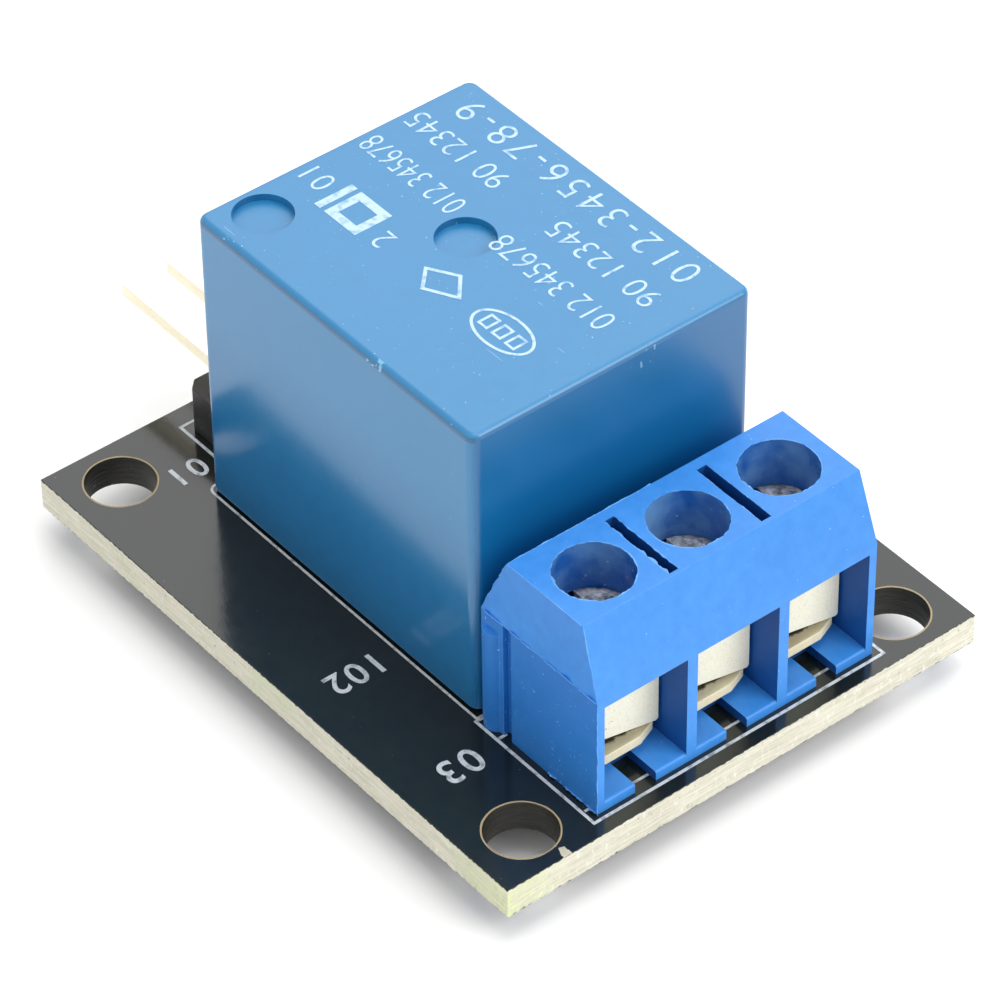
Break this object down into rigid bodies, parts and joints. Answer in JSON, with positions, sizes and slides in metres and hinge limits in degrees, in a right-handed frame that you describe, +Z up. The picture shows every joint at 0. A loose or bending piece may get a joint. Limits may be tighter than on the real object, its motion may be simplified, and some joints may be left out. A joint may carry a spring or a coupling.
{
  "type": "relay module board",
  "caption": "Small relay board: a cube-shaped blue relay, a screw terminal block, a header with bent pins and mounting holes at the corners.",
  "frame": {"origin": "centre of the four mounting holes, on the underside of the board", "axes": "+X towards the screw terminals, +Z up from the component side, +Y towards the driver parts"},
  "size_m": [0.0383, 0.0264, 0.0188],
  "materials": {
    "laminate": "dark solder mask over glass laminate",
    "relay_blue": "moulded, satin",
    "relay_base_resin": "moulded, sealed with resin",
    "bobbin_nylon": "moulded",
    "winding_copper": "enamelled copper wire",
    "soft_iron": "nickel plated iron",
    "spring_bronze": "rolled phosphor bronze",
    "contact_silver": "silver alloy",
    "relay_copper": "stamped copper alloy, tinned lead",
    "terminal_blue": "moulded, satin",
    "terminal_nickel": "nickel plated brass",
    "screw_steel": "zinc plated steel",
    "header_black": "moulded",
    "header_gold": "thin gold plate",
    "solder": "tin solder",
    "resistor_ceramic": "glazed ceramic with tinned ends",
    "lamp_resin": "cast resin with tinned ends",
    "transistor_resin": "moulded resin with tinned leads"
  },
  "bodies": {
    "board": {"circuit_board": "laminate", "relay_case": "relay_blue", "relay_base": "relay_base_resin", "relay_yoke": "soft_iron", "coil_core": "soft_iron", "coil_bobbin": "bobbin_nylon", "coil_winding": "winding_copper", "coil_pin_1": "relay_copper", "coil_pin_2": "relay_copper", "common_pin": "relay_copper", "closed_contact": "relay_copper", "open_contact": "relay_copper", "header_block": "header_black", "header_pin_1": "header_gold", "header_pin_2": "header_gold", "header_pin_3": "header_gold", "terminal_housing": "terminal_blue", "clamp_frame_1": "terminal_nickel", "clamp_frame_2": "terminal_nickel", "clamp_frame_3": "terminal_nickel", "base_resistor": "resistor_ceramic", "lamp_resistor": "resistor_ceramic", "indicator_lamp": "lamp_resin", "driver_transistor": "transistor_resin", "flyback_diode": "transistor_resin", "header_solder": "solder", "terminal_solder": "solder", "relay_solder": "solder"},
    "wire_guard_1": {"wire_guard_1": "terminal_nickel"},
    "wire_guard_2": {"wire_guard_2": "terminal_nickel"},
    "wire_guard_3": {"wire_guard_3": "terminal_nickel"},
    "terminal_screw_1": {"terminal_screw_1": "screw_steel"},
    "terminal_screw_2": {"terminal_screw_2": "screw_steel"},
    "terminal_screw_3": {"terminal_screw_3": "screw_steel"},
    "armature": {"armature": "soft_iron", "contact_spring": "spring_bronze", "moving_contact": "contact_silver"}
  },
  "joints": [
    {"name": "guard_lift_1", "type": "slide", "parent": "board", "child": "wire_guard_1", "axis": [0, 0, 1], "range_m": [0, 0.0021]},
    {"name": "screw_turn_1", "type": "hinge", "parent": "wire_guard_1", "child": "terminal_screw_1", "pos_m": [0.01218, -0.00478, 0.0055], "axis": [0, 0, 1], "range_deg": [0, 1681]},
    {"name": "guard_lift_2", "type": "slide", "parent": "board", "child": "wire_guard_2", "axis": [0, 0, 1], "range_m": [0, 0.0021]},
    {"name": "screw_turn_2", "type": "hinge", "parent": "wire_guard_2", "child": "terminal_screw_2", "pos_m": [0.01218, 0.0003, 0.0055], "axis": [0, 0, 1], "range_deg": [0, 1681]},
    {"name": "guard_lift_3", "type": "slide", "parent": "board", "child": "wire_guard_3", "axis": [0, 0, 1], "range_m": [0, 0.0021]},
    {"name": "screw_turn_3", "type": "hinge", "parent": "wire_guard_3", "child": "terminal_screw_3", "pos_m": [0.01218, 0.00538, 0.0055], "axis": [0, 0, 1], "range_deg": [0, 1681]},
    {"name": "armature_pivot", "type": "hinge", "parent": "board", "child": "armature", "pos_m": [-0.0089, 0, 0.0141], "axis": [0, 1, 0], "range_deg": [0, 2.8], "stiffness_Nm_per_rad": 0.003, "springref_deg": -8.59, "deforming": ["contact_spring"]}
  ],
  "couplings": [
    {"joint": "screw_turn_1", "follows": "guard_lift_1", "rad_per_m": 13963},
    {"joint": "screw_turn_2", "follows": "guard_lift_2", "rad_per_m": 13963},
    {"joint": "screw_turn_3", "follows": "guard_lift_3", "rad_per_m": 13963}
  ]
}
